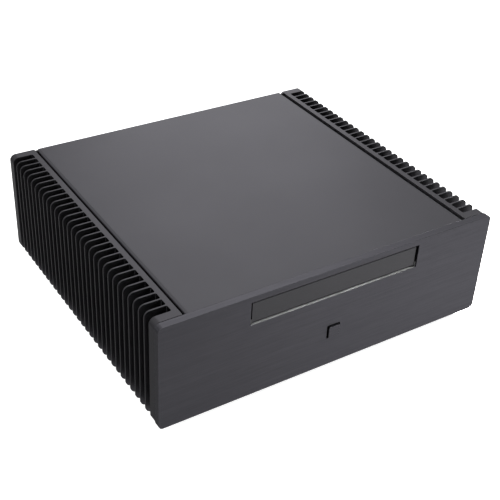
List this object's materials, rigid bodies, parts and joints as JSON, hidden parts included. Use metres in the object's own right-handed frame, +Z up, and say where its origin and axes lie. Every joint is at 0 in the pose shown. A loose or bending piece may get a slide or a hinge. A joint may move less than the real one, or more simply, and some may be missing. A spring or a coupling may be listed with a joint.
{
  "type": "low-profile computer case",
  "caption": "Low flat fanless computer case with finned side heatsinks, brushed front plate, flat top cover, drop-down drive flap and square power button",
  "frame": {"origin": "middle of the case's footprint, on the plane the foot pads stand on", "axes": "+X to the right seen from the front, +Y from the front plate to the rear, +Z up"},
  "size_m": [0.3432, 0.3094, 0.113],
  "materials": {
    "front_anodised": "brushed lengthways, black anodised",
    "cover_anodised": "fine blasted, dark grey anodised",
    "heatsink_anodised": "extruded and blasted, black anodised",
    "door_anodised": "smooth satin, dark anodised",
    "button_anodised": "brushed, black anodised",
    "chassis_anodised": "satin black anodised",
    "rear_anodised": "satin black anodised",
    "foot_anodised": "turned, black anodised",
    "black_steel": "matt black powder coat",
    "bright_steel": "bright spring steel",
    "black_screws": "black oxide",
    "brass_posts": "turned brass",
    "copper_block": "milled copper",
    "pipe_copper": "nickel plated copper",
    "black_plastic": "moulded, matt black",
    "circuit_board": "solder-masked laminate",
    "foot_rubber": "matt black rubber"
  },
  "bodies": {
    "case": {"bar_screws": "black_screws", "base_plate": "chassis_anodised", "base_screws": "black_screws", "block_screws": "black_screws", "board_posts": "brass_posts", "button_housing": "black_plastic", "button_spring": "bright_steel", "clamp_screws": "black_screws", "corner_bar_front_left": "chassis_anodised", "corner_bar_front_right": "chassis_anodised", "corner_bar_rear_left": "chassis_anodised", "corner_bar_rear_right": "chassis_anodised", "cover_screws": "black_screws", "cpu_block_base": "copper_block", "cpu_block_clamp": "chassis_anodised", "dc_inlet": "black_plastic", "dc_inlet_nut": "bright_steel", "door_spring": "bright_steel", "drive_rack": "black_steel", "foot_1": "foot_anodised", "foot_2": "foot_anodised", "foot_3": "foot_anodised", "foot_4": "foot_anodised", "foot_pad_1": "foot_rubber", "foot_pad_2": "foot_rubber", "foot_pad_3": "foot_rubber", "foot_pad_4": "foot_rubber", "foot_screws": "black_screws", "front_panel": "front_anodised", "heat_pipe_1": "pipe_copper", "heat_pipe_2": "pipe_copper", "heat_pipe_3": "pipe_copper", "heat_pipe_4": "pipe_copper", "heatsink_left": "heatsink_anodised", "heatsink_right": "heatsink_anodised", "hinge_bracket_left": "black_steel", "hinge_bracket_right": "black_steel", "hinge_screws": "black_screws", "housing_screws": "black_screws", "panel_screws": "black_screws", "pipe_clamp": "chassis_anodised", "pipe_seat": "chassis_anodised", "post_screws": "black_screws", "rack_screws": "black_screws", "rail_screws": "black_screws", "rear_panel": "rear_anodised", "rear_panel_screws": "black_screws", "side_rail_left": "chassis_anodised", "side_rail_right": "chassis_anodised", "slot_cover_1": "black_steel", "slot_cover_2": "black_steel", "slot_cover_screws": "black_screws", "switch_board": "circuit_board", "tact_switch": "black_plastic", "top_cover": "cover_anodised"},
    "door": {"drive_door": "door_anodised", "hinge_pins": "bright_steel", "door_arm": "black_steel", "arm_screws": "black_screws"},
    "button": {"power_button": "button_anodised"}
  },
  "joints": [
    {"name": "door_hinge", "type": "hinge", "parent": "case", "child": "door", "pos_m": [0, -0.15015, 0.0855], "axis": [1, 0, 0], "range_deg": [0, 88], "stiffness_Nm_per_rad": 0.004, "springref_deg": -34.38, "deforming": ["door_spring"]},
    {"name": "button_press", "type": "slide", "parent": "case", "child": "button", "axis": [0, 1, 0], "range_m": [0, 0.0009], "stiffness_N_per_m": 400, "springref_m": -0.002, "deforming": ["button_spring"]}
  ]
}
